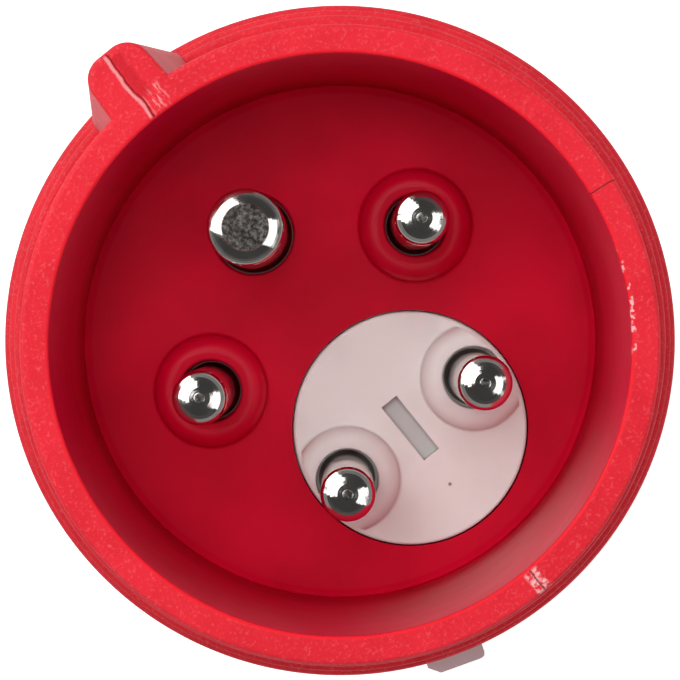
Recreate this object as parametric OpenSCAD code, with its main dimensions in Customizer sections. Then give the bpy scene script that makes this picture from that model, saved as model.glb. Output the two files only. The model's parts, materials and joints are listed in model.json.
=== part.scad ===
// Industrial pin and sleeve plug, 16 A: three phases, neutral and earth, key at 6 h,
// with a phase inverter disc set in its contact floor. It stands on its gland nut with
// the pins up. +Z is the way the pins point, the key and the earth pin are on +Y, and
// the origin is the centre of the gland nut's end face.

/* [Shroud] */
// Height of the shroud's rim above the gland nut's end face
rim_z = 134; // [134:1:150]
// Depth of the shroud, from its rim to the contact floor
shroud_depth = 42; // [41:0.5:44]
// Outside diameter of the shroud
shroud_d = 57; // [57:0.5:60]
// Inside diameter of the shroud at its rim
mouth_d = 51.8; // [51.6:0.1:53]
// Inside diameter of the shroud at the contact floor
floor_d = 50.5; // [50.2:0.1:51.5]
// Thickness of the contact floor
floor_t = 4; // [4:0.5:5]
// Half the key's width at the rim
key_rim_w = 3.1; // [2.6:0.1:3.4]
// Half the key's width at the flange
key_root_w = 5.5; // [4.6:0.1:5.8]
// Distance from the plug's axis to the key's crest
key_reach = 33.3; // [32.5:0.1:33.6]

/* [Contacts] */
// Radius of the circle that all five pins stand on
pin_circle_r = 13.6; // [13.4:0.1:13.8]
// Diameter of a phase or neutral pin
pin_d = 5; // [4.8:0.1:5.2]
// Diameter of the earth pin
earth_d = 7; // [6.6:0.1:7.2]
// Height of the pins above the contact floor
pin_stand = 36; // [32:0.5:39]
// Radius of the domed cap on a phase or neutral pin
pin_cap_r = 3.9; // [3.6:0.1:6]
// Radius of the domed cap on the earth pin
earth_cap_r = 6.3; // [5:0.1:8]
// Height of the bosses round the fixed pins
boss_h = 2.5; // [1.5:0.1:3]

/* [Phase inverter] */
// Diameter of the disc in the contact floor
disc_d = 23; // [22.6:0.1:23.2]
// Height of the disc's face above the contact floor
disc_proud = 0.3; // [0:0.1:0.6]
// Length of the screwdriver slot
slot_l = 6.7; // [5:0.1:7]
// Width of the screwdriver slot
slot_w = 1.9; // [1.2:0.1:2]
// Travel of the disc when it is pressed in
press_travel = 2; // [1.5:0.1:2]

/* [Rear housing] */
// Outside radius of the handle where it meets the flange
handle_r = 33.2; // [33:0.1:33.4]
// Radius of the handle's waist, above the gland nut
waist_r = 20.6; // [19.5:0.1:21.5]
// Number of grip flutes on each side of the handle
flutes = 5; // [3:1:6]
// Travel of the release latch
latch_travel = 2.5; // [2.3:0.1:2.6]

/* [Gland] */
// Diameter of the gland nut over its ribs
nut_d = 41; // [40.5:0.5:43]
// Height of the gland nut
nut_h = 28; // [27:0.5:29]
// Number of ribs round the gland nut
nut_ribs = 24; // [16:1:30]
// Diameter of the hole in the gland seal
cord_hole_d = 13; // [10:0.5:13.5]
// Number of fingers on the clamping ring
collet_fingers = 12; // [8:1:14]

/* [Hidden] */
$fn = 64;
eps = 0.01;
red = "firebrick";
grey = "gainsboro";
nickel = "silver";

// Levels, from the pins down
floor_z = rim_z - shroud_depth;
back_z = floor_z - floor_t;
tip_z = floor_z + pin_stand;
ring_z = floor_z - 3;
flange_z = floor_z - 15;
skirt_z = flange_z - 14;
carrier_z = back_z - 24;
terminal_z = back_z - 32;

// Shroud
shroud_r = shroud_d / 2;
mouth_r = mouth_d / 2;
floor_r = floor_d / 2;
skirt_r = 29;
skirt_in_r = 25.2;
ring_r = [32.4, 33.1, 33.8];
ring_step = 3;
lug_angles = [30, 150, 270];
lug_r = 30.1;
lug_z = skirt_z + 3;
lug_h = 3;
lug_arc = 12;
key_crest_r = 2.3;

// Contacts: earth at 90 degrees and the others every 72 degrees round from it
neutral_at = 18;
line1_at = 162;
pin_r = pin_d / 2;
earth_r = earth_d / 2;
pin_edge_r = 0.7;
earth_edge_r = 0.45;
pin_flat_r = 0.3;
earth_flat_r = 2.1;
root_step = 0.3;
root_gap = 0.1;
hole_gap = 0.55;
hole_floor_z = floor_z - 2.5;
shoulder_h = 2.5;
terminal_r = 4.25;
wire_r = 2.3;
wire_h = 12;
screw_r = 2;
screw_z = terminal_z + 5;
carrier_screw_xy = [10, 13.75];
carrier_screw_r = 1.5;

// Phase inverter: its axis lies halfway between the two pins that it carries
disc_r = disc_d / 2;
disc_y = -pin_circle_r * cos(36);
disc_pin_x = pin_circle_r * sin(36);
disc_top = floor_z + disc_proud;
disc_gap = 0.15;
rotor_r = 13;
rotor_z = back_z - 2.1;
rotor_stop_gap = 0.05;
chamber_r = rotor_r + 0.35;
chamber_z = back_z - 12;
tail_z = chamber_z + press_travel + 0.5;
hub_r = 3;
hub_z = carrier_z + 7;
washer_t = 0.9;
washer_z = rotor_z - washer_t - 0.05;
blade_t = 0.8;
blade_w = 6;
blade_x = disc_pin_x + pin_r + 0.05;
blade_top = rotor_z - press_travel - 0.6;
block_size = [8.5, 9, 12];
block_x = 8.6;
foot_z = carrier_z + 4 - blade_t;

// Handle
handle_in_r = 29.3;
neck_r = 15.95;
neck_bore_r = 12.6;
neck_z = 10;
waist_z = nut_h + 4;
seat_z = neck_z + 14;
throat_r = 9.5;
seal_ring_r = 0.8;
rebate_r = skirt_r + 2 * seal_ring_r + 0.1;

// Latch
latch_at = 251;
latch_w = 6;
latch_r = 35.5;
latch_foot_r = 30.8;
latch_foot_w = 8;
latch_spring_z = flange_z - 16;

// Gland
nut_r = nut_d / 2;
nut_floor = 3.6;
nut_hole_r = 8;
thread_gap = 0.05;
collet_z = nut_floor + 1;
collet_r = 12.4;
collet_in_r = 7.5;
seal_z = seat_z - 10;

// Points along an arc about [x, y], from angle a0 to angle a1
function arc(x, y, r, a0, a1, n) =
    [for (i = [0:n]) let (a = a0 + (a1 - a0) * i / n) [x + r * cos(a), y + r * sin(a)]];

// Points along a smooth S from a to b, level with the axis at both ends
function ease(a, b, n) =
    [for (i = [0:n]) let (t = i / n, s = t * t * (3 - 2 * t))
        [a[0] + (b[0] - a[0]) * s, a[1] + (b[1] - a[1]) * t]];

module at_angle(a, r = 0) {
    rotate([0, 0, a]) translate([r, 0, 0]) children();
}

module tube(r, r_in, z0, z1) {
    translate([0, 0, z0]) difference() {
        cylinder(r = r, h = z1 - z0);
        translate([0, 0, -1]) cylinder(r = r_in, h = z1 - z0 + 2);
    }
}

// A ring segment that is centred on angle a
module ring_arc(a, sweep, r_in, r_out, z0, z1) {
    rotate([0, 0, a - sweep / 2]) rotate_extrude(angle = sweep)
        translate([r_in, z0]) square([r_out - r_in, z1 - z0]);
}

// A coil spring that stands on z0 and reaches z1
module coil(r, wire, turns, z0, z1, sides, steps) {
    n = turns * steps;
    rise = z1 - z0 - wire;
    points = [
        for (i = [0:n], j = [0:sides - 1])
            let (a = 360 * i / steps, b = 360 * j / sides, q = r + wire / 2 * cos(b))
                [q * cos(a), q * sin(a), z0 + wire / 2 + rise * i / n + wire / 2 * sin(b)]
    ];
    skin = [
        for (i = [0:n - 1], j = [0:sides - 1])
            let (k = (j + 1) % sides)
                [i * sides + j, i * sides + k, (i + 1) * sides + k, (i + 1) * sides + j]
    ];
    start = [for (j = [sides - 1:-1:0]) j];
    end = [for (j = [0:sides - 1]) n * sides + j];
    polyhedron(points = points, faces = concat([start], skin, [end]));
}

// The same points without the first
function tail(points) = [for (i = [1:len(points) - 1]) points[i]];

// A boss with a crowned edge
module boss(base_r, h, z0) {
    crown = 1.4;
    rotate_extrude() polygon(concat(
        [[0, z0 - eps], [base_r, z0 - eps], [base_r, z0]],
        arc(base_r - crown, z0 + h - crown, crown, 0, 90, 6),
        [[0, z0 + h]]
    ));
}

// The hole that a pin of radius r stands in: narrow round its root, wide round its shank
module pin_hole(r, narrow_r, z0, top_z, mouth) {
    wide_r = r + hole_gap;
    rotate_extrude() polygon([
        [0, z0], [narrow_r, z0], [narrow_r, hole_floor_z], [wide_r, hole_floor_z],
        [wide_r, top_z - mouth], [wide_r + mouth + 1, top_z + 1], [0, top_z + 1]
    ]);
}

// Section of a pin's free end: root, shank, rounded edge, domed cap and a small flat
function pin_end(r, root_z, cap_r, edge_r, flat_r) =
    let (
        lean = asin((r - edge_r) / (cap_r - edge_r)),
        cap_z = tip_z - sqrt(cap_r * cap_r - flat_r * flat_r),
        edge_z = cap_z + (cap_r - edge_r) * cos(lean)
    ) concat(
        [[r + root_step, root_z], [r + root_step, hole_floor_z], [r, hole_floor_z + root_step]],
        arc(r - edge_r, edge_z, edge_r, 0, 90 - lean, 6),
        tail(arc(0, cap_z, cap_r, 90 - lean, acos(flat_r / cap_r), 6)),
        [[0, tip_z]]
    );

// A fixed contact: solid pin in front, drilled terminal with a cross screw behind
module contact_pin(r, cap_r, edge_r, flat_r, body_r) {
    difference() {
        rotate_extrude() polygon(concat(
            [[0, terminal_z], [body_r - 0.4, terminal_z], [body_r, terminal_z + 0.4]],
            [[body_r, back_z - shoulder_h], [body_r + 0.9, back_z - shoulder_h], [body_r + 0.9, back_z]],
            pin_end(r, back_z, cap_r, edge_r, flat_r)
        ));
        translate([0, 0, terminal_z - 1]) cylinder(r = wire_r, h = wire_h + 1);
        translate([0, 0, screw_z]) rotate([0, 90, 0]) cylinder(r = screw_r, h = body_r + 1);
        translate([body_r - 0.5, 0, screw_z]) rotate([0, 90, 0]) cylinder(r = 3.1, h = 2);
    }
}

// A pin that the inverter disc carries: its tail reaches the contacts behind
module rotor_pin() {
    rotate_extrude() polygon(concat(
        [[0, tail_z], [pin_r - 0.4, tail_z], [pin_r, tail_z + 0.4], [pin_r, rotor_z]],
        pin_end(pin_r, rotor_z, pin_cap_r, pin_edge_r, pin_flat_r)
    ));
}

// A clamp screw along +X whose head seats at x = seat
module clamp_screw(seat, reach) {
    translate([seat - reach, 0, 0]) rotate([0, 90, 0]) cylinder(r = screw_r - 0.03, h = reach + eps);
    difference() {
        translate([seat, 0, 0]) rotate([0, 90, 0]) cylinder(r = 2.9, h = 2);
        translate([seat + 1, -0.4, -4]) cube([2, 0.8, 8]);
    }
}

module shroud_section() {
    polygon(concat(
        [[0, back_z], [skirt_in_r, back_z], [skirt_in_r, skirt_z]],
        [[skirt_r - 0.6, skirt_z], [skirt_r, skirt_z + 0.6], [skirt_r, flange_z]],
        [[ring_r[2] - 0.5, flange_z], [ring_r[2], flange_z + 0.5]],
        arc(ring_r[2] - 0.6, ring_z - 2 * ring_step - 0.6, 0.6, 0, 90, 4),
        [[ring_r[1], ring_z - 2 * ring_step]],
        arc(ring_r[1] - 0.3, ring_z - ring_step - 0.3, 0.3, 0, 90, 3),
        [[ring_r[0], ring_z - ring_step]],
        arc(ring_r[0] - 0.5, ring_z - 0.5, 0.5, 0, 90, 4),
        arc(shroud_r + 1.2, ring_z + 1.2, 1.2, 270, 180, 4),
        arc(shroud_r - 0.5, rim_z - 0.5, 0.5, 0, 90, 4),
        arc(mouth_r + 0.35, rim_z - 0.35, 0.35, 90, 180, 4),
        arc(floor_r - 0.6, floor_z + 0.6, 0.6, 0, -90, 4),
        [[0, floor_z]]
    ));
}

// Outline of the key across its length, with its crest rounded
module key_outline(w, reach) {
    translate([-w - 0.4, shroud_r - 3.5]) square([2 * w + 0.8, 3]);
    for (s = [-1, 1]) translate([s * (w - key_crest_r), reach - key_crest_r])
        circle(r = key_crest_r, $fn = 32);
}

module key_rib() {
    hull() {
        translate([0, 0, rim_z - 0.5]) linear_extrude(0.5) key_outline(key_rim_w, key_reach);
        translate([0, 0, ring_z - 1]) linear_extrude(1) key_outline(key_root_w, key_reach + 0.4);
    }
}

// Wings where the key runs out into the flange
module key_wings() {
    w = key_root_w + 0.9;
    hull() {
        translate([0, 0, flange_z + 3]) linear_extrude(2) key_outline(w, ring_r[2] - 0.3);
        translate([0, 0, ring_z + 2]) linear_extrude(1) key_outline(key_root_w - 0.3, key_reach);
    }
}

module shroud_housing() {
    color(red) difference() {
        union() {
            rotate_extrude() shroud_section();
            difference() {
                union() {
                    key_rib();
                    key_wings();
                }
                translate([0, 0, flange_z - 1]) cylinder(r = shroud_r - 1, h = rim_z);
            }
            for (a = [neutral_at, line1_at]) at_angle(a, pin_circle_r)
                boss(pin_r + 3.05, boss_h, floor_z);
            for (a = lug_angles) ring_arc(a, lug_arc, skirt_r - 1, lug_r, lug_z, lug_z + lug_h);
        }
        for (a = [neutral_at, line1_at]) at_angle(a, pin_circle_r)
            pin_hole(pin_r, pin_r + root_step + root_gap, back_z - 1, floor_z + boss_h, 0.25);
        translate([0, pin_circle_r, 0])
            pin_hole(earth_r, earth_r + root_step + root_gap, back_z - 1, floor_z, 0.15);
        translate([0, disc_y, back_z - 1]) cylinder(r = disc_r + disc_gap, h = floor_t + 2);
        for (s = [-1, 1]) translate([s * carrier_screw_xy[0], carrier_screw_xy[1], back_z - 1])
            cylinder(r = carrier_screw_r, h = floor_t - 0.2);
        rotate([0, 0, latch_at]) translate([latch_foot_r - 0.2, -latch_w / 2 - 0.1, flange_z - 1])
            cube([6, latch_w + 0.2, 3.3]);
    }
}

module earth_pin() {
    color(nickel) translate([0, pin_circle_r, 0]) rotate([0, 0, 90])
        contact_pin(earth_r, earth_cap_r, earth_edge_r, earth_flat_r, terminal_r + 0.5);
}

module neutral_pin() {
    color(nickel) at_angle(neutral_at, pin_circle_r)
        contact_pin(pin_r, pin_cap_r, pin_edge_r, pin_flat_r, terminal_r);
}

module line1_pin() {
    color(nickel) at_angle(line1_at, pin_circle_r)
        contact_pin(pin_r, pin_cap_r, pin_edge_r, pin_flat_r, terminal_r);
}

module inverter_disc() {
    slot_depth = 2.4;
    disc_boss_h = boss_h - disc_proud;
    color("lightgray") translate([0, disc_y, 0]) difference() {
        union() {
            rotate_extrude() polygon(concat(
                [[0, hub_z], [hub_r - 0.3, hub_z], [hub_r, hub_z + 0.3], [hub_r, rotor_z]],
                [[rotor_r, rotor_z], [rotor_r, back_z - rotor_stop_gap]],
                [[disc_r, back_z - rotor_stop_gap]],
                arc(disc_r - 0.35, disc_top - 0.35, 0.35, 0, 90, 4),
                [[0, disc_top]]
            ));
            intersection() {
                for (s = [-1, 1]) translate([s * disc_pin_x, 0, 0])
                    boss(5.2, disc_boss_h, disc_top);
                translate([0, 0, floor_z]) cylinder(r = disc_r - 0.35, h = 5);
            }
        }
        for (s = [-1, 1]) translate([s * disc_pin_x, 0, 0])
            pin_hole(pin_r, pin_r + root_step, rotor_z - 1, disc_top + disc_boss_h, 0.2);
        translate([-slot_w / 2, -slot_l / 2, disc_top - slot_depth]) cube([slot_w, slot_l, 4]);
    }
}

module line2_pin() {
    color(nickel) translate([-disc_pin_x, disc_y, 0]) rotor_pin();
}

module line3_pin() {
    color(nickel) translate([disc_pin_x, disc_y, 0]) rotor_pin();
}

module inverter_washer() {
    color(nickel) translate([0, disc_y, 0]) tube(5, hub_r + 0.05, washer_z, washer_z + washer_t);
}

module inverter_spring() {
    color("slategray") translate([0, disc_y, 0]) coil(4, 0.8, 4.5, chamber_z, washer_z, 8, 14);
}

// A pocket in the carrier for a piece of size w by d, level with the disc's axis
module pocket(x, w, d, z, h) {
    gap = 0.1;
    translate([x - w / 2 - gap, disc_y - d / 2 - gap, z]) cube([w + 2 * gap, d + 2 * gap, h]);
}

module terminal_carrier() {
    color("dimgray") difference() {
        translate([0, 0, carrier_z]) cylinder(r = skirt_in_r - 0.2, h = back_z - carrier_z);
        translate([0, disc_y, chamber_z]) cylinder(r = chamber_r, h = 20);
        translate([0, disc_y, carrier_z - 1]) cylinder(r = hub_r + 0.06, h = 30);
        for (a = [neutral_at, line1_at]) at_angle(a, pin_circle_r) {
            translate([0, 0, carrier_z - 1]) cylinder(r = terminal_r + 0.05, h = 30);
            translate([0, 0, back_z - shoulder_h]) cylinder(r = terminal_r + 0.95, h = 10);
        }
        translate([0, pin_circle_r, 0]) {
            translate([0, 0, carrier_z - 1]) cylinder(r = terminal_r + 0.55, h = 30);
            translate([0, 0, back_z - shoulder_h]) cylinder(r = terminal_r + 1.45, h = 10);
        }
        for (s = [-1, 1]) {
            translate([s * carrier_screw_xy[0], carrier_screw_xy[1], carrier_z - 1])
                cylinder(r = carrier_screw_r + 0.1, h = 30);
            pocket(s * block_x, block_size[0], block_size[1], carrier_z - 1, 5);
            pocket(s * (blade_x + blade_t / 2), blade_t, blade_w, carrier_z, 20);
        }
    }
}

module carrier_screws() {
    color("darkgray") for (s = [-1, 1]) translate([s * carrier_screw_xy[0], carrier_screw_xy[1], 0])
        difference() {
            union() {
                translate([0, 0, carrier_z]) cylinder(r = carrier_screw_r, h = back_z - carrier_z + 2.5);
                translate([0, 0, carrier_z - 2.4]) cylinder(r = 2.9, h = 2.4);
            }
            for (a = [0, 90]) rotate([0, 0, a]) translate([-2, -0.4, carrier_z - 3]) cube([4, 0.8, 2]);
        }
}

// A bronze blade that wipes the tail of a pin in the disc, with its foot on the terminal
module wiper(side) {
    foot_in = block_x - 3;
    translate([0, disc_y - blade_w / 2, 0]) mirror([side < 0 ? 1 : 0, 0, 0]) {
        translate([blade_x, 0, foot_z]) cube([blade_t, blade_w, blade_top - foot_z]);
        translate([foot_in, 0, foot_z]) cube([blade_x + blade_t - foot_in, blade_w, blade_t]);
    }
}

module line2_contact() {
    color("goldenrod") wiper(-1);
}

module line3_contact() {
    color("goldenrod") wiper(1);
}

// A drilled brass block with a screw hole in its outer side
module terminal_block(side) {
    translate([side * block_x, disc_y, foot_z - block_size[2]]) difference() {
        translate([-block_size[0] / 2, -block_size[1] / 2, 0]) cube(block_size);
        translate([0, 0, -1]) cylinder(r = wire_r, h = 10);
        translate([0, 0, 4.5]) rotate([90, 0, 0]) cylinder(r = screw_r, h = block_size[1]);
    }
}

module line2_terminal() {
    color("khaki") terminal_block(-1);
}

module line3_terminal() {
    color("khaki") terminal_block(1);
}

module terminal_screws() {
    color("darkgray") {
        for (a = [neutral_at, line1_at]) at_angle(a, pin_circle_r)
            translate([0, 0, screw_z]) clamp_screw(terminal_r - 0.5, 3);
        translate([0, pin_circle_r, screw_z]) rotate([0, 0, 90]) clamp_screw(terminal_r, 3);
        for (s = [-1, 1]) translate([s * block_x, disc_y, foot_z - block_size[2] + 4.5])
            rotate([0, 0, -90]) clamp_screw(block_size[1] / 2, 3);
    }
}

module handle_section() {
    lip = 0.5;
    polygon(concat(
        [[neck_bore_r, neck_z], [neck_r - 0.8, neck_z], [neck_r, neck_z + 0.8], [neck_r, waist_z - 2]],
        [[waist_r - 0.5, waist_z - 2], [waist_r, waist_z - 1.5]],
        ease([waist_r, waist_z + 2], [handle_r, flange_z - 16], 12),
        [[handle_r, flange_z - lip], [handle_r - lip, flange_z]],
        [[rebate_r, flange_z], [rebate_r, flange_z - 2 * seal_ring_r]],
        [[handle_in_r, flange_z - 2 * seal_ring_r], [handle_in_r, skirt_z - 1]],
        ease([handle_in_r - 1, skirt_z - 2], [throat_r + 3, waist_z + 5], 8),
        [[throat_r, waist_z + 2], [throat_r, seat_z], [neck_bore_r, seat_z]]
    ));
}

// A flute for the fingers, sunk in the side of the handle
module flute() {
    r = 2.2;
    depth = 1.1;
    top = flange_z - 12;
    translate([handle_r + r - depth, 0, waist_z + 18]) cylinder(r = r, h = top - waist_z - 18);
    translate([handle_r + r - depth, 0, top]) sphere(r = r);
}

// Bayonet track for one lug: in from the top edge, then round
module lug_track(a) {
    gap = 0.3;
    turn = 20;
    entry = lug_arc + 2;
    low = lug_z - gap / 2;
    ring_arc(a + turn, entry, skirt_r - 1, lug_r + gap, lug_z + lug_h / 2, flange_z + 1);
    ring_arc(a + turn / 2, entry + turn - 1, skirt_r - 1, lug_r + gap - 0.05, low, low + lug_h + gap);
}

module latch_channel() {
    gap = 0.2;
    rotate([0, 0, latch_at]) {
        translate([latch_foot_r + 0.8, -latch_w / 2 - gap, latch_spring_z - 2.5 - latch_travel])
            cube([8, latch_w + 2 * gap, 40]);
        translate([latch_foot_r - gap, -latch_foot_w / 2 - gap, latch_spring_z])
            cube([1.2 + 2 * gap, latch_foot_w + 2 * gap, 40]);
    }
}

module rear_housing() {
    pitch = 11;
    color(grey) difference() {
        rotate_extrude() handle_section();
        for (side = [0, 180], i = [0:flutes - 1])
            rotate([0, 0, side + (i - (flutes - 1) / 2) * pitch]) flute();
        for (a = lug_angles) lug_track(a);
        latch_channel();
    }
}

module housing_seal() {
    color("dimgray") translate([0, 0, flange_z - seal_ring_r])
        rotate_extrude() translate([skirt_r + seal_ring_r, 0]) circle(r = seal_ring_r);
}

module release_latch() {
    top = flange_z - 0.1;
    foot = latch_spring_z + 6.5;
    w = latch_w / 2;
    color(grey) rotate([0, 0, latch_at]) difference() {
        union() {
            translate([latch_foot_r, -latch_foot_w / 2, foot]) cube([1.2, latch_foot_w, top - foot]);
            translate([latch_foot_r, -w, foot]) cube([3.2, latch_w, top - foot]);
            translate([latch_foot_r, -w + 0.2, foot]) cube([2, latch_w - 0.4, top + 2 - foot]);
            translate([latch_foot_r + 2.8, -w, latch_spring_z - 2.2])
                cube([0.9, latch_w, top - latch_spring_z + 2.2]);
            translate([0, 0, foot]) linear_extrude(top - foot) polygon([
                [handle_r, -w], [latch_r - 0.9, -w], [latch_r, -w + 1.1], [latch_r, w - 0.5],
                [latch_r - 0.15, w - 0.15], [latch_r - 0.5, w], [handle_r, w]
            ]);
        }
        for (i = [0:2]) translate([latch_r, 0, foot + 2 + 2.2 * i]) rotate([90, 0, 0])
            cylinder(r = 0.6, h = 10, center = true);
    }
}

module latch_spring() {
    color("slategray") rotate([0, 0, latch_at]) translate([latch_foot_r + 1.2, 0, 0])
        coil(0.95, 0.35, 7, latch_spring_z, latch_spring_z + 6.5, 6, 10);
}

module gland_seal() {
    hole_r = cord_hole_d / 2;
    color("dimgray") rotate_extrude() polygon([
        [hole_r, seal_z], [neck_bore_r - 1.6, seal_z], [neck_bore_r, seal_z + 1.6],
        [neck_bore_r, seat_z], [hole_r, seat_z]
    ]);
}

module gland_collet() {
    finger_h = 5;
    root_z = seal_z - 3.4;
    color("whitesmoke") difference() {
        rotate_extrude() polygon([
            [collet_in_r, collet_z], [collet_r - 2, collet_z], [collet_r, root_z],
            [collet_r, seal_z], [collet_in_r, seal_z]
        ]);
        for (i = [0:collet_fingers - 1]) at_angle(360 / collet_fingers * (i + 0.5), collet_in_r - 2)
            translate([0, -0.4, collet_z - 1]) cube([10, 0.8, finger_h + 1]);
    }
}

module gland_washer() {
    color(nickel) tube(13.2, nut_hole_r - 0.3, nut_floor, collet_z);
}

// Outline of the nut with its ribs
module nut_outline() {
    rib_w = 2;
    circle(r = nut_r - 1);
    for (i = [0:nut_ribs - 1]) rotate(360 / nut_ribs * i)
        translate([nut_r - 2.5, -rib_w / 2]) square([2.5, rib_w]);
}

module gland_nut() {
    collar_h = 4;
    color(grey) difference() {
        union() {
            intersection() {
                linear_extrude(nut_h - collar_h) nut_outline();
                rotate_extrude() polygon([
                    [0, 0], [nut_r - 4, 0], [nut_r - 2, 0.8], [nut_r, 4], [nut_r, nut_h], [0, nut_h]
                ]);
            }
            translate([0, 0, nut_h - collar_h]) rotate_extrude() polygon([
                [0, 0], [nut_r, 0], [nut_r, collar_h - 0.8], [nut_r - 0.8, collar_h], [0, collar_h]
            ]);
        }
        translate([0, 0, -1]) cylinder(r = nut_hole_r, h = nut_h);
        translate([0, 0, nut_floor]) cylinder(r = neck_r + thread_gap, h = nut_h);
    }
}

shroud_housing();
earth_pin();
neutral_pin();
line1_pin();
inverter_disc();
line2_pin();
line3_pin();
inverter_washer();
inverter_spring();
terminal_carrier();
carrier_screws();
line2_contact();
line3_contact();
line2_terminal();
line3_terminal();
terminal_screws();
rear_housing();
housing_seal();
release_latch();
latch_spring();
gland_seal();
gland_collet();
gland_washer();
gland_nut();
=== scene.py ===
"""Looks of the industrial pin and sleeve plug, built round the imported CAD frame.

Lengths are in millimetres until a mesh is made, and then in metres. Angles are in degrees
about the plug's axis, counter-clockwise from +X as seen from the pins. The key and the
earth pin are at 90, and the inverter disc is at 270.
"""

import json
import math

import bmesh
import bpy
from mathutils import Matrix, Vector


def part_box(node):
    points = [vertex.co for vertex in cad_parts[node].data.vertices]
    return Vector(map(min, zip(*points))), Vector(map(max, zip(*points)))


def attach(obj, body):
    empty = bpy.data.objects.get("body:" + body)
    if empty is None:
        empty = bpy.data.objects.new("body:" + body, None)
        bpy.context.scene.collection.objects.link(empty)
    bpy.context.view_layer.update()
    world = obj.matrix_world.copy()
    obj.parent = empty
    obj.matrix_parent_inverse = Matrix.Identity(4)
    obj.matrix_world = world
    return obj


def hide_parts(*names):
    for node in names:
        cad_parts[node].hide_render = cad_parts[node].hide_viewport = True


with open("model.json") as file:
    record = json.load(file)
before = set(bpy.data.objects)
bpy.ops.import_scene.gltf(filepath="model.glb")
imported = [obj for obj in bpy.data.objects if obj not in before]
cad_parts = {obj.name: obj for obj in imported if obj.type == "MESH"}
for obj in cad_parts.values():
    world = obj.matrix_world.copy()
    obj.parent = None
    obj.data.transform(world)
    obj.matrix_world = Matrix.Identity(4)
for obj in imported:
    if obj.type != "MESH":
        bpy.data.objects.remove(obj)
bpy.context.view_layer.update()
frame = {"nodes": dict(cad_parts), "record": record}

MM = 0.001


# ---- places, read from the frame -------------------------------------------------------


def corners(node):
    """A CAD node's lowest and highest corner in millimetres."""
    lo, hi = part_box(node)
    return lo / MM, hi / MM


def centre_xy(node):
    lo, hi = corners(node)
    return (lo.x + hi.x) / 2, (lo.y + hi.y) / 2


def mount(name):
    return next(m for m in frame["record"]["mounts"] if m["name"] == name)


RIM_Z = corners("shroud_housing")[1].z
FLANGE_R = corners("shroud_housing")[1].x
SKIRT_Z = corners("shroud_housing")[0].z
FLANGE_Z = corners("rear_housing")[1].z
TIP_Z = corners("earth_pin")[1].z
PIN_R = mount("neutral_contact")["dims"]["r_mm"]
EARTH_R = mount("earth_contact")["dims"]["r_mm"]
EARTH_XY = centre_xy("earth_pin")
LINE2_XY = centre_xy("line2_pin")
LINE3_XY = centre_xy("line3_pin")
CIRCLE_R = EARTH_XY[1]
DISC_XY = (0.0, LINE2_XY[1])
FLOOR_Z = RIM_Z - 42
BACK_Z = FLOOR_Z - 4
RING_Z = FLOOR_Z - 3
SHROUD_R = 28.5
MOUTH_R = 25.9
FLOOR_R = 25.25
CORNER_R = 0.2
RIM_ROUND = 0.4
MOUTH_ROUND = 0.35
FOOT_ROUND = 1.2
RING_R = (32.4, 33.1, FLANGE_R)
RING_ROUND = (0.5, 0.3, 0.6)
RING_STEP = 3
DISC_R = 11.5
DISC_HOLE_R = 11.65
DISC_EDGE_R = 0.35
ROTOR_R = 13.0
HUB_R = 3.0
BOSS_H = 2.5
DISC_PROUD = 0.3
SLOT_SIZE = (1.9, 6.7, 2.4)
SKIRT_R = 29.0
SKIRT_IN_R = 25.2
HOLE_FLOOR_Z = FLOOR_Z - 2.5
HOLE_GAP = 0.55
ROOT_STEP = 0.3
LATCH_ANGLE = 251
LUG_ANGLES = (30, 150, 270)


def polar(radius, angle):
    a = math.radians(angle)
    return radius * math.cos(a), radius * math.sin(a)


NEUTRAL_XY = polar(CIRCLE_R, 18)
LINE1_XY = polar(CIRCLE_R, 162)


def arc(x, y, radius, start, end, steps):
    """Points of an arc about (x, y)."""
    out = []
    for i in range(steps + 1):
        a = math.radians(start + (end - start) * i / steps)
        out.append((x + radius * math.cos(a), y + radius * math.sin(a)))
    return out


# ---- mesh helpers ----------------------------------------------------------------------


def make_object(name, points, faces):
    """A mesh object from points in millimetres."""
    mesh = bpy.data.meshes.new(name)
    mesh.from_pydata([(x * MM, y * MM, z * MM) for x, y, z in points], [], faces)
    mesh.validate()
    obj = bpy.data.objects.new(name, mesh)
    bpy.context.scene.collection.objects.link(obj)
    bm = bmesh.new()
    bm.from_mesh(mesh)
    bmesh.ops.recalc_face_normals(bm, faces=bm.faces)
    bm.to_mesh(mesh)
    bm.free()
    return obj


def loft(name, loops):
    """A closed skin through loops of equal length; a loop of one point is a pole."""
    points, faces, starts = [], [], []
    for loop in loops:
        starts.append(len(points))
        points.extend(loop)
    for k in range(len(loops) - 1):
        a, b = starts[k], starts[k + 1]
        na, nb = len(loops[k]), len(loops[k + 1])
        for j in range(max(na, nb)):
            i = (j + 1) % max(na, nb)
            if na == 1:
                faces.append((a, b + i, b + j))
            elif nb == 1:
                faces.append((a + j, a + i, b))
            else:
                faces.append((a + j, a + i, b + i, b + j))
    return make_object(name, points, faces)


def lathe(name, profile, centre=(0.0, 0.0), steps=128):
    """A profile of (radius, z) turned about a vertical axis."""
    loops = []
    for radius, z in profile:
        if radius < 1e-6:
            loops.append([(centre[0], centre[1], z)])
        else:
            loops.append(
                [
                    (
                        centre[0] + radius * math.cos(2 * math.pi * j / steps),
                        centre[1] + radius * math.sin(2 * math.pi * j / steps),
                        z,
                    )
                    for j in range(steps)
                ]
            )
    if len(loops[0]) > 1:
        loops.append(loops[0])
    return loft(name, loops)


def drop(obj):
    bpy.data.objects.remove(obj)


def boolean(obj, tools, operation):
    """Cuts or joins the tools, and removes them."""
    for tool in tools:
        mod = obj.modifiers.new("b", "BOOLEAN")
        mod.object = tool
        mod.operation = operation
        mod.solver = "EXACT"
    apply_modifiers(obj)
    for tool in tools:
        drop(tool)
    return obj


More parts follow.
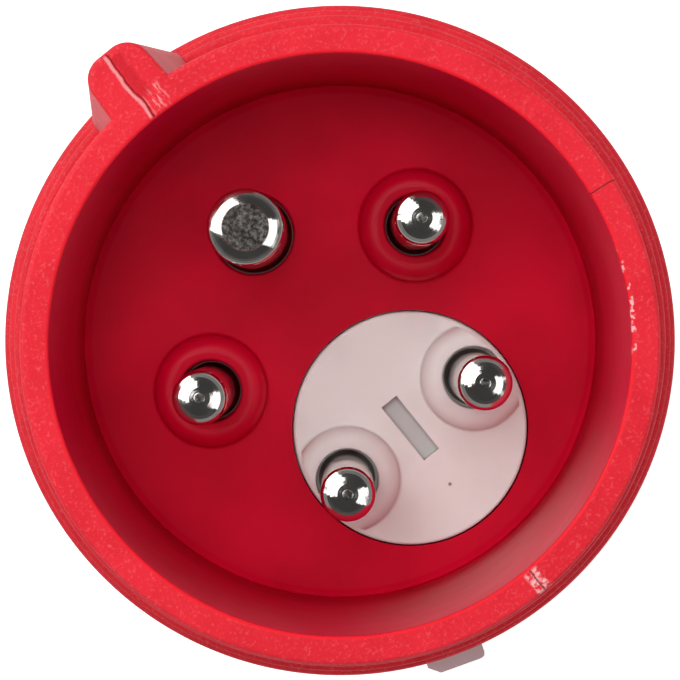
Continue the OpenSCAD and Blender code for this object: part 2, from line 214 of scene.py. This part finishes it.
def apply_modifiers(obj):
    graph = bpy.context.evaluated_depsgraph_get()
    mesh = bpy.data.meshes.new_from_object(obj.evaluated_get(graph))
    old = obj.data
    obj.modifiers.clear()
    obj.data = mesh
    bpy.data.meshes.remove(old)


def shade(obj, angle=35):
    """Smooth shading, with edges kept sharp past the angle."""
    obj.data.shade_smooth()
    obj.data.set_sharp_from_angle(angle=math.radians(angle))
    return obj


def weigh(obj):
    """Lets the large flat faces rule the normals along their edges."""
    mod = obj.modifiers.new("w", "WEIGHTED_NORMAL")
    mod.keep_sharp = True
    apply_modifiers(obj)
    return obj


def finish_piece(obj, body, slot, material, *nodes):
    """Gives a piece its body and its material, and hides the CAD nodes that it stands for. Its
    slot is not used.
    """
    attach(obj, body)
    if nodes:
        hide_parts(*nodes)
    obj.data.materials.clear()
    obj.data.materials.append(material)
    return obj


def rod(x, y, radius, z0, z1, steps=96):
    return lathe("tool", [(0, z0), (radius, z0), (radius, z1), (0, z1)], (x, y), steps)


def block(x0, x1, y0, y1, z0, z1):
    points = [(x, y, z) for z in (z0, z1) for y in (y0, y1) for x in (x0, x1)]
    faces = [(0, 2, 3, 1), (4, 5, 7, 6), (0, 1, 5, 4), (2, 6, 7, 3), (0, 4, 6, 2), (1, 3, 7, 5)]
    return make_object("tool", points, faces)


def wedge(angle, sweep, r0, r1, z0, z1, steps=16):
    """A piece of a ring about the plug's axis, centred on an angle."""
    loops = []
    for i in range(steps + 1):
        c, t = polar(1, angle - sweep / 2 + sweep * i / steps)
        section = ((r0, z0), (r1, z0), (r1, z1), (r0, z1))
        loops.append([(c * radius, t * radius, z) for radius, z in section])
    points = [p for loop in loops for p in loop]
    faces = [(0, 1, 2, 3), tuple(4 * steps + k for k in (3, 2, 1, 0))]
    for i in range(steps):
        for k in range(4):
            a, b = 4 * i, 4 * (i + 1)
            faces.append((a + k, a + (k + 1) % 4, b + (k + 1) % 4, b + k))
    return make_object("tool", points, faces)


# ---- materials -------------------------------------------------------------------------


class Finish:
    """A material with short calls for the nodes that most finishes here share."""

    def __init__(self, name, roughness=0.5, metallic=0.0):
        self.material = bpy.data.materials.new(name)
        self.material.use_nodes = True
        self.tree = self.material.node_tree
        self.shader = self.tree.nodes["Principled BSDF"]
        self.shader.inputs["Roughness"].default_value = roughness
        self.shader.inputs["Metallic"].default_value = metallic
        self.coords = self.node("ShaderNodeTexCoord").outputs["Object"]

    def node(self, kind, **settings):
        made = self.tree.nodes.new(kind)
        for key, value in settings.items():
            setattr(made, key, value)
        return made

    def put(self, socket, value):
        if isinstance(value, bpy.types.NodeSocket):
            self.tree.links.new(value, socket)
        else:
            socket.default_value = value

    def math(self, operation, a, b=0.0, clamp=False):
        made = self.node("ShaderNodeMath", operation=operation, use_clamp=clamp)
        self.put(made.inputs[0], a)
        self.put(made.inputs[1], b)
        return made.outputs[0]

    def times(self, first, *others):
        for other in others:
            first = self.math("MULTIPLY", first, other)
        return first

    def length(self, a, b):
        squares = self.math("ADD", self.times(a, a), self.times(b, b))
        return self.math("SQRT", squares)

    def remap(self, value, low, high, to_low=0.0, to_high=1.0):
        """A smooth step of a value from low to high."""
        made = self.node("ShaderNodeMapRange", interpolation_type="SMOOTHSTEP")
        self.put(made.inputs["Value"], value)
        limits = {"From Min": low, "From Max": high, "To Min": to_low, "To Max": to_high}
        for key, number in limits.items():
            made.inputs[key].default_value = number
        return made.outputs["Result"]

    def axes(self):
        """The piece's own x, y and z, in metres."""
        made = self.node("ShaderNodeSeparateXYZ")
        self.put(made.inputs[0], self.coords)
        return made.outputs

    def noise(self, size, detail=3.0, roughness=0.5, stretch=(1, 1, 1)):
        """Noise whose features are about size millimetres across."""
        place = self.node("ShaderNodeMapping")
        self.put(place.inputs["Vector"], self.coords)
        place.inputs["Scale"].default_value = stretch
        made = self.node("ShaderNodeTexNoise")
        self.put(made.inputs["Vector"], place.outputs[0])
        made.inputs["Scale"].default_value = 1 / (size * MM)
        made.inputs["Detail"].default_value = detail
        made.inputs["Roughness"].default_value = roughness
        return made.outputs["Fac"]

    def blend(self, factor, a, b):
        made = self.node("ShaderNodeMix", data_type="RGBA")
        self.put(made.inputs["Factor"], factor)
        self.put(made.inputs[6], a)
        self.put(made.inputs[7], b)
        return made.outputs[2]

    def bump(self, height, depth, strength=1.0, under=None):
        """A bump whose height of 1 stands for depth millimetres."""
        made = self.node("ShaderNodeBump")
        made.inputs["Distance"].default_value = depth * MM
        made.inputs["Strength"].default_value = strength
        self.put(made.inputs["Height"], height)
        if under is not None:
            self.put(made.inputs["Normal"], under)
        return made.outputs[0]

    def set(self, socket, value):
        self.put(self.shader.inputs[socket], value)


def rgb(r, g, b):
    return (r, g, b, 1.0)


RED = rgb(0.73, 0.014, 0.030)
RED_DARK = rgb(0.66, 0.010, 0.024)
# Painted shade for the inside of the shroud, low down.
RED_WELL_SHADE = rgb(0.60, 0.0015, 0.026)
RED_PALE = rgb(0.90, 0.17, 0.18)
# A randomly darker tone of that painted shade.
RED_WELL_SHADE_DARKER = rgb(0.50, 0.001, 0.020)
# Painted light for the upper inner wall.
RED_WALL_LIT = rgb(0.78, 0.0015, 0.046)
# A painted highlight along the rim's inner edge.
RED_LIP_HIGHLIGHT = rgb(0.80, 0.004, 0.016)
RED_SUNK = rgb(0.52, 0.004, 0.014)
# Pale scuffs, and the painted highlight along the key's ridge.
SCUFF_AND_HIGHLIGHT = rgb(0.86, 0.50, 0.50)
SPLIT_DARK = rgb(0.16, 0.002, 0.006)
WELD_ANGLE = 271
FLOW_ANGLE = 352
NICKS_ANGLE = 328


def along(f, x, y, angle):
    """Distance out along an angle, and distance sideways from it."""
    c, t = polar(1, angle)
    out = f.math("ADD", f.times(x, c), f.times(y, t))
    side = f.math("ADD", f.times(x, -t), f.times(y, c))
    return out, side


def band(f, value, low, high, soft):
    """1 where a length is between low and high millimetres, with soft ends."""
    rise = f.remap(value, (low - soft) * MM, (low + soft) * MM)
    fall = f.remap(value, (high - soft) * MM, (high + soft) * MM, 1.0, 0.0)
    return f.times(rise, fall)


def rim_marks(f, x, y, radius, top):
    """Masks of the marks on the rim: pale scuffs with a painted highlight along the ridge, thin
    dark lines, the ridge, the sunk streak.
    """
    wobble = f.times(f.math("SUBTRACT", f.noise(2.4, 3), 0.5), 0.9 * MM)
    weld_out, weld_side = along(f, x, y, WELD_ANGLE)
    weld_side = f.math("ADD", weld_side, wobble)
    weld = f.times(band(f, weld_side, -0.75, 0.75, 0.18), band(f, weld_out, 26.3, 28.4, 0.2))
    weld = f.times(weld, top, f.remap(f.noise(0.5, 4, 0.7), 0.42, 0.60))
    seam = f.times(band(f, weld_side, -0.07, 0.07, 0.05), band(f, weld_out, 26.2, 28.5, 0.1), top)
    flow_out, flow_side = along(f, x, y, FLOW_ANGLE)
    flow_side = f.math("ADD", flow_side, wobble)
    flow = f.times(band(f, flow_side, -0.06, 0.10, 0.06), band(f, flow_out, 25.9, 28.6, 0.1), top)
    seam = f.math("MAXIMUM", seam, flow)

    side = f.math("ADD", x, wobble)
    split = f.times(band(f, side, -0.05, 0.09, 0.05), band(f, y, 26.1, 33.1, 0.1), top)
    # The ridge is raised by a bump, and it is also painted pale as a painted highlight.
    ridge_and_highlight = f.times(band(f, side, -0.40, -0.12, 0.08), band(f, y, 26.2, 33.0, 0.2), top, 0.55)
    sunk = f.times(band(f, side, 0.20, 1.15, 0.18), band(f, y, 28.0, 32.5, 0.4), top)
    streaks = f.remap(f.noise(0.7, 3, stretch=(3, 0.7, 1)), 0.5, 0.66)
    rubbed = f.times(band(f, side, 0.2, 2.0, 0.3), band(f, y, 26.2, 28.6, 0.4), top, streaks)

    nick_out, nick_side = along(f, x, y, NICKS_ANGLE)
    nicks = f.times(band(f, nick_side, -4.6, 4.6, 1.5), band(f, radius, 25.85, 26.35, 0.08))
    nicks = f.times(nicks, f.math("GREATER_THAN", nick_out, 0.0), top)
    nicks = f.times(nicks, f.remap(f.noise(0.55, 3), 0.55, 0.64))

    scuffed = f.math("MAXIMUM", weld, nicks)
    # Pale marks: real scuffs and rubbing, and a painted highlight along the ridge.
    scuffs_and_highlight = f.math("MAXIMUM", scuffed, f.math("MAXIMUM", ridge_and_highlight, f.times(rubbed, 0.5)))
    return scuffs_and_highlight, split, seam, ridge_and_highlight, sunk


def red_moulding():
    """Sanded red outside and on the rim, polished inside the shroud, with its marks, painted shade
    low in the shroud, painted light up its wall, and painted highlights on the rim's inner edge
    and along the key's ridge.
    """
    f = Finish("red_moulding")
    x, y, z = f.axes()
    radius = f.length(x, y)
    inner = f.remap(radius, 25.95 * MM, 26.15 * MM, 1.0, 0.0)
    below = f.remap(z, (RIM_Z - 0.35) * MM, (RIM_Z - 0.1) * MM, 1.0, 0.0)
    inside = f.times(inner, below)
    outside = f.math("SUBTRACT", 1.0, inside)
    top = f.remap(z, (RIM_Z - 1.0) * MM, (RIM_Z - 0.5) * MM)
    sand = f.noise(0.30, 2, 0.6)
    grain = f.noise(0.10, 1)
    tint = f.blend(f.remap(f.noise(6, 5, 0.6), 0.40, 0.62), RED, RED_DARK)
    tint = f.blend(f.remap(sand, 0.50, 0.80, 0.0, 0.34), tint, RED_PALE)
    tint = f.blend(f.remap(grain, 0.62, 0.80, 0.0, 0.25), tint, RED_DARK)
    # Painted highlight: the rim's inner edge is painted a brighter red.
    lip_highlight = f.times(band(f, radius, 25.9, 26.25, 0.08), top)
    tint = f.blend(f.times(lip_highlight, 0.8), tint, RED_LIP_HIGHLIGHT)

    scuffs_and_highlight, split, seam, ridge_and_highlight, sunk = rim_marks(f, x, y, radius, top)
    # Pale colour for the scuffs and for the painted highlight on the ridge.
    tint = f.blend(f.times(scuffs_and_highlight, 0.85), tint, SCUFF_AND_HIGHLIGHT)
    tint = f.blend(f.times(sunk, 0.75), tint, RED_SUNK)
    tint = f.blend(f.times(f.math("MAXIMUM", split, seam), 0.75), tint, SPLIT_DARK)
    # Inside the shroud: painted shade down at the floor, with random darker patches, and painted
    # light that grows lighter up the wall.
    deep = f.blend(f.remap(f.noise(11, 3), 0.35, 0.65), RED_WELL_SHADE, RED_WELL_SHADE_DARKER)
    wall_light = f.remap(z, (FLOOR_Z + 4) * MM, (FLOOR_Z + 14) * MM)
    deep = f.blend(wall_light, deep, RED_WALL_LIT)
    f.set("Base Color", f.blend(inside, tint, deep))

    corner = f.times(band(f, radius, 24.5, 25.7, 0.15), band(f, z, FLOOR_Z, FLOOR_Z + 1.0, 0.1))
    rough = f.math("ADD", f.times(inside, -0.20), 0.55)
    rough = f.math("ADD", rough, f.times(f.noise(4, 4), 0.10))
    rough = f.math("ADD", rough, f.times(corner, 0.4))
    f.set("Roughness", f.math("SUBTRACT", rough, f.times(sunk, 0.30)))
    gloss = f.math("ADD", f.times(inside, -0.08), 0.40)
    f.set("Specular IOR Level", f.math("SUBTRACT", gloss, f.times(corner, 0.40)))

    fine = f.math("ADD", sand, f.times(grain, 0.4))
    first = f.bump(f.times(fine, outside), 0.05, 0.9)
    cuts = f.math("ADD", f.times(split, -1.0), f.math("ADD", f.times(seam, -0.6), ridge_and_highlight))
    second = f.bump(f.math("SUBTRACT", cuts, f.times(sunk, 0.5)), 0.10, 0.9, first)
    f.set("Normal", f.bump(f.times(f.noise(7, 2), inside), 0.05, 0.6, second))
    return f.material


def grey_finish(name, colour, sand_depth, roughness):
    f = Finish(name, roughness)
    cloud = f.noise(7, 4)
    shade_of = rgb(colour[0] * 0.93, colour[1] * 0.92, colour[2] * 0.92)
    plain = f.blend(f.remap(cloud, 0.35, 0.7), colour, shade_of)
    f.set("Base Color", plain)
    f.set("Roughness", f.remap(f.noise(2.5, 3), 0.3, 0.7, roughness - 0.05, roughness + 0.07))
    f.set("Normal", f.bump(f.noise(0.3, 2, 0.6), sand_depth, 0.7))
    return f, plain


def grey_moulding(name, colour, sand_depth=0.03, roughness=0.42):
    return grey_finish(name, colour, sand_depth, roughness)[0].material


def disc_moulding(name, colour, sand_depth, roughness):
    """The grey moulding with a dark speck and painted shade down in its slot."""
    f, plain = grey_finish(name, colour, sand_depth, roughness)
    x, y, z = f.axes()
    dx = f.math("SUBTRACT", x, (DISC_XY[0] - 0.43) * MM)
    dy = f.math("SUBTRACT", y, (DISC_XY[1] - 6.76) * MM)
    speck = f.remap(f.length(dx, dy), 0.10 * MM, 0.24 * MM, 0.8, 0.0)
    # Painted shade: the slot is painted darker towards its bottom.
    slot = f.remap(z, (FLOOR_Z - 1.9) * MM, (FLOOR_Z + 0.1) * MM, 0.55, 0.0)
    slot = f.times(slot, f.math("LESS_THAN", f.math("ABSOLUTE", x), 1.0 * MM))
    shaded = f.blend(slot, plain, rgb(0.40, 0.37, 0.36))
    f.set("Base Color", f.blend(speck, shaded, rgb(0.10, 0.07, 0.07)))
    return f.material


def bright_metal(name, colour, roughness=0.08, scratches=0.004):
    f = Finish(name, roughness, 1.0)
    stain = f.noise(2.2, 4)
    darker = rgb(*[c * 0.82 for c in colour[:3]])
    tint = f.blend(f.remap(stain, 0.45, 0.75, 0.0, 0.6), colour, darker)
    z = f.axes()[2]
    end = f.remap(z, (TIP_Z - 0.030) * MM, (TIP_Z - 0.012) * MM)
    rough_end = f.noise(0.40, 3, 0.7)
    pits = f.math("MULTIPLY", end, rough_end)
    dull = f.math("MULTIPLY", end, f.remap(rough_end, 0.40, 0.66, 0.85, 0.0))
    f.set("Base Color", f.blend(dull, tint, rgb(0.10, 0.065, 0.055)))
    worn = f.remap(f.noise(1.2, 4), 0.35, 0.7, roughness * 0.7, roughness * 1.8)
    f.set("Roughness", f.math("ADD", worn, f.math("MULTIPLY", end, 0.22)))
    brushed = f.bump(f.noise(0.25, 3, stretch=(1, 1, 0.08)), scratches, 0.8)
    f.set("Normal", f.bump(pits, 0.03, 1.0, brushed))
    return f.material


def rubber(name):
    f = Finish(name, 0.7)
    dust = f.remap(f.noise(1.5, 4), 0.3, 0.7)
    f.set("Base Color", f.blend(dust, rgb(0.018, 0.018, 0.018), rgb(0.035, 0.034, 0.033)))
    f.set("Normal", f.bump(f.noise(0.2, 3), 0.02, 0.6))
    return f.material


red = red_moulding()
disc_grey = disc_moulding("disc_grey", rgb(0.84, 0.83, 0.81), 0.012, 0.38)
handle_grey = grey_moulding("handle_grey", rgb(0.60, 0.60, 0.59), 0.035, 0.46)
latch_grey = grey_moulding("latch_grey", rgb(0.66, 0.49, 0.50), 0.012, 0.36)
white_nylon = grey_moulding("white_nylon", rgb(0.74, 0.74, 0.72), 0.01, 0.4)
carrier_black = grey_moulding("carrier_black", rgb(0.045, 0.045, 0.05), 0.02, 0.45)
nickel = bright_metal("nickel", rgb(0.78, 0.75, 0.71), 0.09)
zinc = bright_metal("zinc", rgb(0.62, 0.63, 0.64), 0.28)
spring_wire = bright_metal("spring_wire", rgb(0.42, 0.42, 0.43), 0.25)
brass = bright_metal("brass", rgb(0.78, 0.60, 0.30), 0.25)
bronze = bright_metal("bronze", rgb(0.74, 0.47, 0.27), 0.25)
black_rubber = rubber("black_rubber")

SLOT_FINISH = {
    "red_plastic": red,
    "grey_disc": disc_grey,
    "grey_plastic": handle_grey,
    "grey_latch": latch_grey,
    "nickel_plate": nickel,
    "steel": zinc,
    "spring_steel": spring_wire,
    "brass": brass,
    "bronze": bronze,
    "carrier_plastic": carrier_black,
    "white_plastic": white_nylon,
    "black_rubber": black_rubber,
}


def dress_frame():
    """Every CAD node that stays in view gets the finish of its slot."""
    for entry in frame["record"]["subparts"]:
        obj = frame["nodes"][entry["node"]]
        obj.data.materials.clear()
        obj.data.materials.append(SLOT_FINISH[entry["material_slot"]])
        shade(obj, 30)


# ---- shroud ----------------------------------------------------------------------------

KEY_STEPS = 54
KEY_CORNER = 2.3
KEY_FOOT = 0.4
KEY_RIM_W = 3.1
KEY_REACH = 33.3
KEY_ROOT_W = 5.5
KEY_ROOT_REACH = 33.7
WING_W = (KEY_ROOT_W, 5.87, 6.27)
WING_REACH = (KEY_ROOT_REACH, 33.45, 33.0)
ROUND_STEPS = 620
# Two loops at one height would leave slivers between them, so one stands this far off.
LOOP_GAP = 0.02


def resample(points, count):
    """The same line with count equal steps."""
    far = [0.0]
    for a, b in zip(points, points[1:]):
        far.append(far[-1] + math.dist(a, b))
    out = []
    k = 0
    for i in range(count + 1):
        want = far[-1] * i / count
        while k < len(far) - 2 and far[k + 1] < want:
            k += 1
        t = (want - far[k]) / max(far[k + 1] - far[k], 1e-9)
        a, b = points[k], points[k + 1]
        out.append((a[0] + (b[0] - a[0]) * t, a[1] + (b[1] - a[1]) * t))
    return out


def key_half(half_width, reach, radius):
    """The key's outline from its root on a circle up to its crest, at x >= 0."""
    if reach <= radius:
        lean = math.degrees(math.asin(half_width / radius))
        return arc(0, 0, radius, 90 - lean, 90, KEY_STEPS)
    top = reach - KEY_CORNER
    low = radius - 4
    line = []
    for i in range(80):
        t = i / 80
        line.append((half_width + KEY_FOOT * (1 - t), low + (top - low) * t))
    line += arc(half_width - KEY_CORNER, top, KEY_CORNER, 0, 90, 48)
    line.append((0.0, reach))
    first = next(i for i, point in enumerate(line) if math.hypot(*point) > radius)
    a, b = line[first - 1], line[first]
    t = (radius - math.hypot(*a)) / (math.hypot(*b) - math.hypot(*a))
    root = (a[0] + (b[0] - a[0]) * t, a[1] + (b[1] - a[1]) * t)
    return resample([root] + line[first:], KEY_STEPS)


def keyed_circle(radius, half_width, reach):
    """A circle with the key on it, starting at the key's right-hand root."""
    half = key_half(half_width, reach, radius)
    start = math.degrees(math.atan2(half[0][1], half[0][0]))
    around = arc(0, 0, radius, 180 - start, 360 + start, ROUND_STEPS)[1:-1]
    return half + [(-x, y) for x, y in reversed(half[:-1])] + around


def shroud_shell():
    """Shroud tube, key, floor slab, flange rings and skirt as one closed skin."""
    rim = keyed_circle(SHROUD_R, KEY_RIM_W, KEY_REACH)
    spokes = [(x / math.hypot(x, y), y / math.hypot(x, y)) for x, y in rim]
    loops = []

    def ring(radius, z):
        loops.append([(x * radius, y * radius, z) for x, y in spokes])

    def keyed(radius, half_width, reach, z):
        loops.append([(x, y, z) for x, y in keyed_circle(radius, half_width, reach)])

    loops.append([(0, 0, FLOOR_Z)])
    for radius in (3, 6, 9, 12, 15, 18, 21, 23.5, 24.8):
        ring(radius, FLOOR_Z)
    for radius, z in arc(FLOOR_R - CORNER_R, FLOOR_Z + CORNER_R, CORNER_R, -90, 0, 4):
        ring(radius, z)
    for i in range(1, 12):
        t = i / 12
        ring(FLOOR_R + (MOUTH_R - FLOOR_R) * t, FLOOR_Z + CORNER_R + (RIM_Z - 1 - FLOOR_Z) * t)
    for radius, z in arc(MOUTH_R + MOUTH_ROUND, RIM_Z - MOUTH_ROUND, MOUTH_ROUND, 180, 90, 6):
        ring(radius, z)
    inner = loops[-1]
    edge = keyed_circle(SHROUD_R - RIM_ROUND, KEY_RIM_W - RIM_ROUND, KEY_REACH - RIM_ROUND)
    face_rings = 14
    for i in range(1, face_rings):
        t = i / face_rings
        pairs = zip(inner, edge)
        steps = [((1 - t) * a[0] + t * b[0], (1 - t) * a[1] + t * b[1]) for a, b in pairs]
        loops.append([(x, y, RIM_Z) for x, y in steps])
    for inset, z in arc(RIM_ROUND, RIM_Z - RIM_ROUND, RIM_ROUND, 90, 0, 5):
        inset = 2 * RIM_ROUND - inset
        keyed(SHROUD_R - inset, KEY_RIM_W - inset, KEY_REACH - inset, z)
    for i in range(1, 13):
        t = i / 12
        z = RIM_Z - RIM_ROUND + (RING_Z + FOOT_ROUND - RIM_Z + RIM_ROUND) * t
        half_width = KEY_RIM_W + (KEY_ROOT_W - KEY_RIM_W) * t
        keyed(SHROUD_R, half_width, KEY_REACH + (KEY_ROOT_REACH - KEY_REACH) * t, z)
    for radius, z in arc(SHROUD_R + FOOT_ROUND, RING_Z + FOOT_ROUND, FOOT_ROUND, 180, 270, 5)[1:]:
        keyed(radius, KEY_ROOT_W, KEY_ROOT_REACH, max(z, RING_Z + LOOP_GAP))
    for k, (radius, soft) in enumerate(zip(RING_R, RING_ROUND)):
        top = RING_Z - RING_STEP * k
        for edge_r, z in arc(radius - soft, top - soft, soft, 90, 0, 5):
            keyed(edge_r, WING_W[k], WING_REACH[k], z)
        if k == 0:
            keyed(radius, WING_W[0], WING_REACH[0], top - 1)
            keyed(radius, WING_W[0], WING_REACH[1], top - 1.1)
        if k < 2:
            keyed(radius, WING_W[k + 1], WING_REACH[1], top - RING_STEP + LOOP_GAP)
        else:
            keyed(radius, WING_W[k], WING_REACH[k], FLANGE_Z + 0.5)
    keyed(FLANGE_R - 0.5, WING_W[2], WING_REACH[2], FLANGE_Z)
    ring(SKIRT_R, FLANGE_Z)
    ring(SKIRT_R, SKIRT_Z + 0.6)
    ring(SKIRT_R - 0.6, SKIRT_Z)
    ring(SKIRT_IN_R, SKIRT_Z)
    ring(SKIRT_IN_R, BACK_Z)
    loops.append([(0, 0, BACK_Z)])
    return loft("shroud_shell", loops)


def boss(x, y, base, top_z, height, foot=0.3):
    """A boss with a crowned edge and a small foot, to be joined on a surface at top_z."""
    crown = 1.4
    profile = [(0, top_z - 1), (base + foot, top_z - 1), (base + foot, top_z - 0.05)]
    profile += arc(base + foot, top_z + foot, foot, 262, 180, 6)
    profile += arc(base - crown, top_z + height - crown, crown, 0, 90, 10)
    profile.append((0, top_z + height))
    return lathe("tool", profile, (x, y), 128)


def pin_hole(x, y, radius, narrow, z0, top_z, mouth):
    """A hole that is narrow round a pin's root and wide round its shank."""
    wide = radius + HOLE_GAP
    profile = [(0, z0), (narrow, z0), (narrow, HOLE_FLOOR_Z), (wide, HOLE_FLOOR_Z)]
    profile += arc(wide + mouth, top_z - mouth, mouth, 180, 100, 4)
    profile += [(wide + mouth, top_z + 1), (0, top_z + 1)]
    return lathe("tool", profile, (x, y), 96)


def make_shroud():
    shell = shroud_shell()
    joined = [boss(x, y, PIN_R + 3.05, FLOOR_Z, BOSS_H) for x, y in (NEUTRAL_XY, LINE1_XY)]
    for angle in LUG_ANGLES:
        joined.append(wedge(angle, 12, SKIRT_R - 1, SKIRT_R + 1.1, SKIRT_Z + 3, SKIRT_Z + 6))
    boolean(shell, joined, "UNION")
    low = BACK_Z - 1
    root = ROOT_STEP + 0.1
    tools = []
    for x, y in (NEUTRAL_XY, LINE1_XY):
        tools.append(pin_hole(x, y, PIN_R, PIN_R + root, low, FLOOR_Z + BOSS_H, 0.25))
    tools.append(pin_hole(*EARTH_XY, EARTH_R, EARTH_R + root, low, FLOOR_Z, 0.15))
    tools.append(rod(*DISC_XY, DISC_HOLE_R, low, FLOOR_Z + 1, 192))
    tools += [rod(side * 10, 13.75, 1.5, low, BACK_Z + 2.8, 32) for side in (-1, 1)]
    slot = block(30.6, 36.6, -3.1, 3.1, FLANGE_Z - 1, FLANGE_Z + 2.3)
    slot.data.transform(Matrix.Rotation(math.radians(LATCH_ANGLE), 4, "Z"))
    boolean(shell, tools + [slot], "DIFFERENCE")
    weigh(shade(shell, 32))
    return finish_piece(shell, "plug", "red_plastic", red, "shroud_housing")


# ---- inverter disc and pins --------------------------------------------------------------


def make_disc():
    top = FLOOR_Z + DISC_PROUD
    rotor_z = BACK_Z - 2.1
    flange_top = BACK_Z - 0.05
    hub_z = corners("inverter_disc")[0].z
    profile = [(0, hub_z), (HUB_R - 0.3, hub_z), (HUB_R, hub_z + 0.3), (HUB_R, rotor_z)]
    profile += [(ROTOR_R, rotor_z), (ROTOR_R, flange_top), (DISC_R, flange_top)]
    profile += arc(DISC_R - DISC_EDGE_R, top - DISC_EDGE_R, DISC_EDGE_R, 0, 90, 6)
    profile += [(8, top), (4, top), (0, top)]
    disc = lathe("inverter_disc_face", profile, DISC_XY, 192)
    height = BOSS_H - DISC_PROUD
    pins = (LINE2_XY, LINE3_XY)
    bosses = []
    for x, y in pins:
        tool = boss(x, y, 5.2, top, height)
        trim = rod(*DISC_XY, DISC_R - 0.5, top - 2, top + 5, 192)
        bosses.append(boolean(tool, [trim], "INTERSECT"))
    boolean(disc, bosses, "UNION")
    narrow = PIN_R + ROOT_STEP
    tools = [pin_hole(x, y, PIN_R, narrow, rotor_z - 1, top + height, 0.2) for x, y in pins]
    wide, long, deep = SLOT_SIZE
    y = DISC_XY[1]
    tools.append(block(-wide / 2, wide / 2, y - long / 2, y + long / 2, top - deep, top + 1))
    boolean(disc, tools, "DIFFERENCE")
    weigh(shade(disc, 32))
    return finish_piece(disc, "inverter_rotor", "grey_disc", disc_grey, "inverter_disc")


# ---- camera, light and floor -------------------------------------------------------------

CAMERA_ROLL = -39
CAMERA_HEIGHT = 379
CAMERA_OFFSET = 3.09
CAMERA_TILT = 0.403
LENS = 225.9


def make_camera():
    """Looks straight into the shroud, a little off its axis."""
    roll = math.radians(CAMERA_ROLL)
    right = Vector((math.cos(roll), math.sin(roll), 0))
    up = Vector((-math.sin(roll), math.cos(roll), 0))
    tilt = math.radians(CAMERA_TILT)
    look = -Vector((0, 0, 1)) * math.cos(tilt) - up * math.sin(tilt)
    head = right.cross(look)
    place = up * CAMERA_OFFSET + Vector((0, 0, RIM_Z + CAMERA_HEIGHT))
    data = bpy.data.cameras.new("camera")
    data.lens = LENS
    data.sensor_width = 36
    data.clip_start = 0.01
    data.clip_end = 20
    camera = bpy.data.objects.new("camera", data)
    turn = Matrix((right, head, -look)).transposed().to_4x4()
    camera.matrix_world = Matrix.Translation(place * MM) @ turn
    bpy.context.scene.collection.objects.link(camera)
    bpy.context.scene.camera = camera


def softbox(name, angle, elevation, distance, size, power, tone=(1, 1, 1)):
    """An area light aimed at the rim, from an angle in the camera's own frame."""
    a = math.radians(angle + CAMERA_ROLL)
    e = math.radians(elevation)
    aim = Vector((0, 0, RIM_Z * MM))
    out = Vector((math.cos(a) * math.cos(e), math.sin(a) * math.cos(e), math.sin(e)))
    data = bpy.data.lights.new(name, "AREA")
    data.shape = "RECTANGLE"
    data.size, data.size_y = size
    data.energy = power
    data.color = tone
    light = bpy.data.objects.new(name, data)
    light.rotation_mode = "QUATERNION"
    light.rotation_quaternion = (-out).to_track_quat("-Z", "Y")
    light.location = aim + out * distance
    bpy.context.scene.collection.objects.link(light)
    return light


def make_world():
    """Pale to just above the horizon, and a dim room overhead for the metal to show."""
    world = bpy.data.worlds.new("studio")
    world.use_nodes = True
    bpy.context.scene.world = world
    tree = world.node_tree
    coords = tree.nodes.new("ShaderNodeTexCoord")
    split = tree.nodes.new("ShaderNodeSeparateXYZ")
    ramp = tree.nodes.new("ShaderNodeMapRange")
    ramp.interpolation_type = "SMOOTHSTEP"
    tree.links.new(coords.outputs["Generated"], split.inputs[0])
    tree.links.new(split.outputs["Z"], ramp.inputs["Value"])
    for key, value in (("From Min", 0.30), ("From Max", 0.62), ("To Min", 0.40), ("To Max", 0.05)):
        ramp.inputs[key].default_value = value
    tree.links.new(ramp.outputs["Result"], tree.nodes["Background"].inputs["Strength"])
    tree.nodes["Background"].inputs["Color"].default_value = rgb(1, 1, 1)


def make_floor():
    floor = block(-3000, 3000, -3000, 3000, -4, -0.05)
    floor.name = "floor"
    f = Finish("floor", 0.9)
    f.shader.inputs["Base Color"].default_value = rgb(0.84, 0.84, 0.84)
    rays = f.node("ShaderNodeLightPath").outputs
    seen = f.math("MAXIMUM", rays["Is Camera Ray"], rays["Is Glossy Ray"])
    seen = f.math("MAXIMUM", seen, rays["Is Transmission Ray"])
    f.set("Emission Strength", f.times(seen, 0.62))
    f.shader.inputs["Emission Color"].default_value = rgb(1, 1, 1)
    floor.data.materials.append(f.material)


def make_lights():
    """Boxes left and right, a low one at the upper left, and a fill that metal doesn't show."""
    softbox("left_box", 150, 46, 0.38, (0.42, 0.24), 0.78)
    softbox("right_box", -10, 48, 0.8, (0.62, 0.36), 1.1)
    softbox("low_box", 142, 20, 0.34, (0.26, 0.10), 0.20)
    fill = softbox("fill", 120, 84, 0.8, (0.30, 0.30), 3.9)
    fill.visible_glossy = False


dress_frame()
make_shroud()
make_disc()
make_floor()
make_lights()
make_world()
make_camera()

bpy.context.scene.view_settings.view_transform = "Standard"
